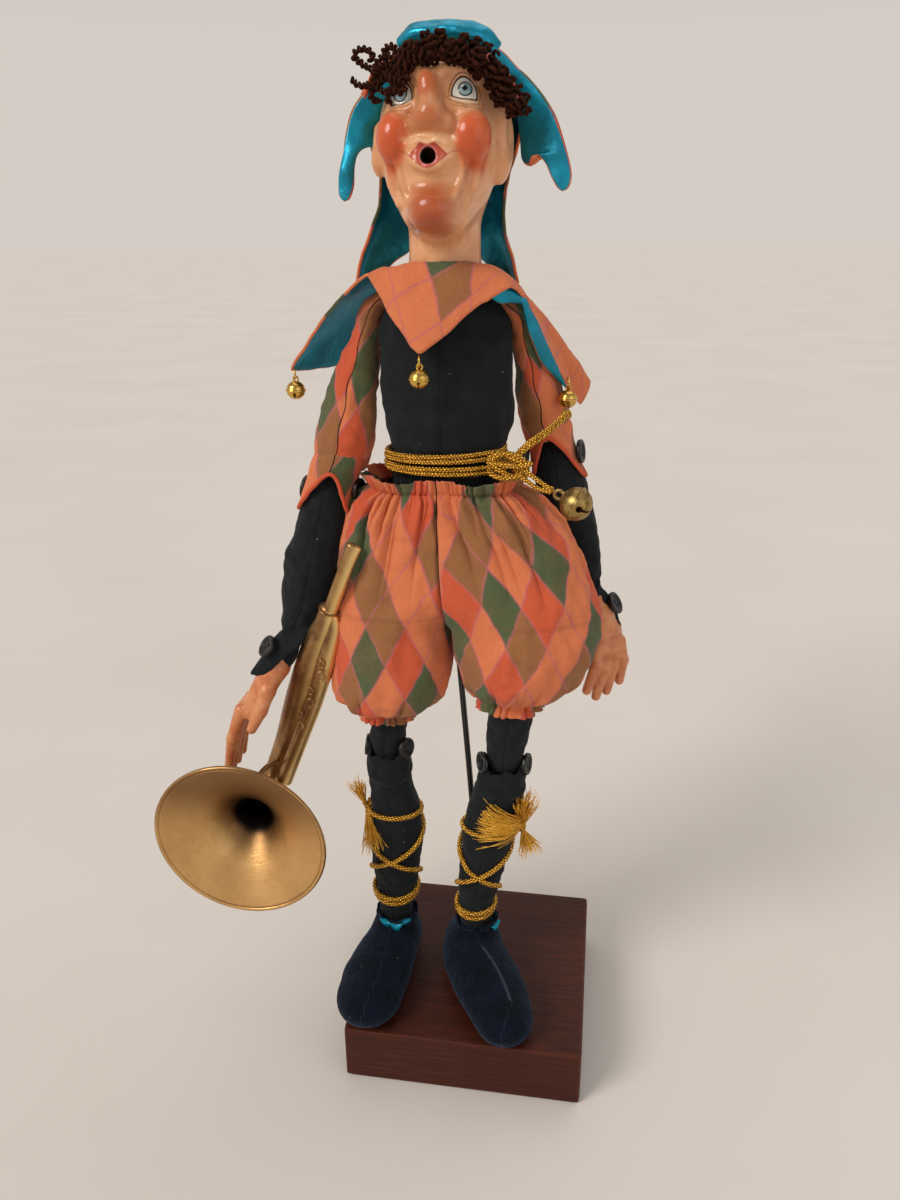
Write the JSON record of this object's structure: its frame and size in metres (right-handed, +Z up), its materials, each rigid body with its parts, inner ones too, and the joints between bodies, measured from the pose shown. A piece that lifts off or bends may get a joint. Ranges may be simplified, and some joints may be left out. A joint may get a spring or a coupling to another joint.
{
  "type": "jester doll on a stand",
  "caption": "Soft cloth jester doll with painted head and hands, pointed hood and collar, bells and a horn at its side, held upright by a rod on a wooden block.",
  "frame": {"origin": "middle of the base block's flat underside", "axes": "+Z up, the doll looks along -Y, its right side is at -X; the sides of the base block lie along X and Y"},
  "size_m": [0.1916, 0.102, 0.4025],
  "materials": {
    "stained_wood": "dark mahogany stain under satin varnish, fine straight grain",
    "black_rod": "black lacquered rod",
    "black_cloth": "very dark navy-black plain cotton, stuffed",
    "print_cloth": "printed cotton with a diamond pattern in orange, salmon, green and tan",
    "lined_cloth": "teal satin lining on diamond-printed cotton",
    "painted_skin": "painted hard head and hands, semi-gloss flesh colour with red cheeks",
    "yarn": "dark brown chenille yarn",
    "gold_cord": "twisted metallic gold cord",
    "bell_metal": "polished to aged brass",
    "horn_bronze": "rubbed gold-bronze paint",
    "velvet": "navy velvet, teal lining at the mouth",
    "black_button": "black two-hole button"
  },
  "bodies": {
    "root": {"base": "stained_wood", "stand_rod": "black_rod", "torso": "black_cloth", "head": "painted_skin", "hair": "yarn", "hood": "lined_cloth", "collar": "lined_cloth", "bloomers": "print_cloth", "upper_arm_right": "print_cloth", "upper_arm_left": "print_cloth", "forearm_right": "black_cloth", "forearm_left": "black_cloth", "hand_right": "painted_skin", "hand_left": "painted_skin", "thigh_right": "black_cloth", "thigh_left": "black_cloth", "shin_right": "black_cloth", "shin_left": "black_cloth", "shoe_right": "velvet", "shoe_left": "velvet", "belt_cord": "gold_cord", "lacing_right": "gold_cord", "lacing_left": "gold_cord", "belt_bell": "bell_metal", "bell_front": "bell_metal", "bell_right": "bell_metal", "bell_left": "bell_metal", "bell_ring_front": "bell_metal", "bell_ring_right": "bell_metal", "bell_ring_left": "bell_metal", "horn": "horn_bronze", "button_knee_right_outer": "black_button", "button_knee_right_inner": "black_button", "button_knee_left_inner": "black_button", "button_knee_left_outer": "black_button", "button_elbow_right_outer": "black_button", "button_elbow_right_inner": "black_button", "button_elbow_left_outer": "black_button", "button_elbow_left_inner": "black_button", "button_wrist_right": "black_button", "button_wrist_left": "black_button"}
  },
  "joints": []
}
